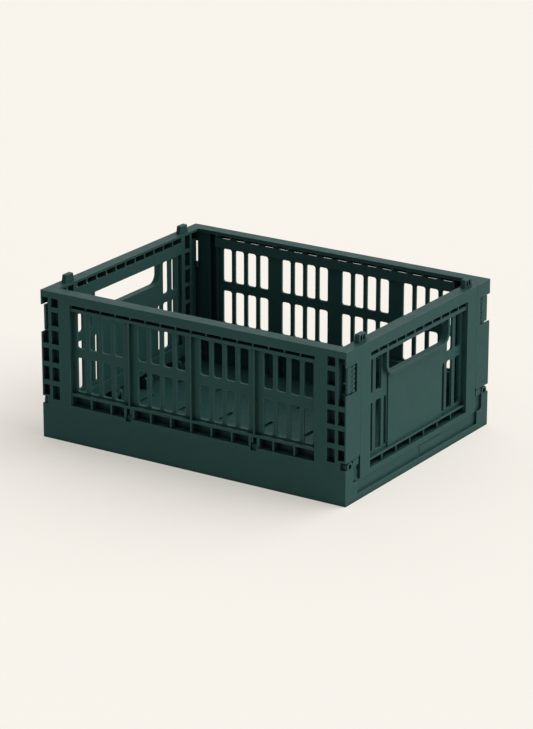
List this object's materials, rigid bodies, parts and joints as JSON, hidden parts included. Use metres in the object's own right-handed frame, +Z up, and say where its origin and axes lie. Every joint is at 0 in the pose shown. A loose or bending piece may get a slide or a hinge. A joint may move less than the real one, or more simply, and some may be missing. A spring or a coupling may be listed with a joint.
{
  "type": "collapsible_storage_crate",
  "caption": "Collapsible storage crate with slotted sides, hand holes, stacking lugs, fold-in end sides and a sprung latch tongue at each corner.",
  "frame": {"origin": "centre of the underside, on the surface that the crate stands on", "axes": "+X along the length, +Y across the width, +Z up"},
  "size_m": [0.345, 0.265, 0.158],
  "materials": {
    "moulded_polypropylene": "fine moulded texture, matte"
  },
  "bodies": {
    "crate_shell": {"base_tray": "moulded_polypropylene", "long_side_back": "moulded_polypropylene", "long_side_front": "moulded_polypropylene"},
    "end_side_right": {"end_side_right": "moulded_polypropylene"},
    "end_side_left": {"end_side_left": "moulded_polypropylene"},
    "latch_back_right": {"latch_tongue_back_right": "moulded_polypropylene"},
    "latch_back_left": {"latch_tongue_back_left": "moulded_polypropylene"},
    "latch_front_right": {"latch_tongue_front_right": "moulded_polypropylene"},
    "latch_front_left": {"latch_tongue_front_left": "moulded_polypropylene"}
  },
  "joints": [
    {"name": "end_side_right_fold", "type": "hinge", "parent": "crate_shell", "child": "end_side_right", "pos_m": [0.162, 0, 0.014], "axis": [0, -1, 0], "range_deg": [0, 90]},
    {"name": "end_side_left_fold", "type": "hinge", "parent": "crate_shell", "child": "end_side_left", "pos_m": [-0.162, 0, 0.014], "axis": [0, 1, 0], "range_deg": [0, 90]},
    {"name": "latch_back_right_pull", "type": "hinge", "parent": "crate_shell", "child": "latch_back_right", "pos_m": [0.1705, 0.1176, 0.1215], "axis": [0, 0, -1], "range_deg": [0, 10], "stiffness_Nm_per_rad": 0.1},
    {"name": "latch_back_left_pull", "type": "hinge", "parent": "crate_shell", "child": "latch_back_left", "pos_m": [-0.1705, 0.1176, 0.1215], "axis": [0, 0, 1], "range_deg": [0, 10], "stiffness_Nm_per_rad": 0.1},
    {"name": "latch_front_right_pull", "type": "hinge", "parent": "crate_shell", "child": "latch_front_right", "pos_m": [0.1705, -0.1176, 0.1215], "axis": [0, 0, 1], "range_deg": [0, 10], "stiffness_Nm_per_rad": 0.1},
    {"name": "latch_front_left_pull", "type": "hinge", "parent": "crate_shell", "child": "latch_front_left", "pos_m": [-0.1705, -0.1176, 0.1215], "axis": [0, 0, -1], "range_deg": [0, 10], "stiffness_Nm_per_rad": 0.1}
  ]
}
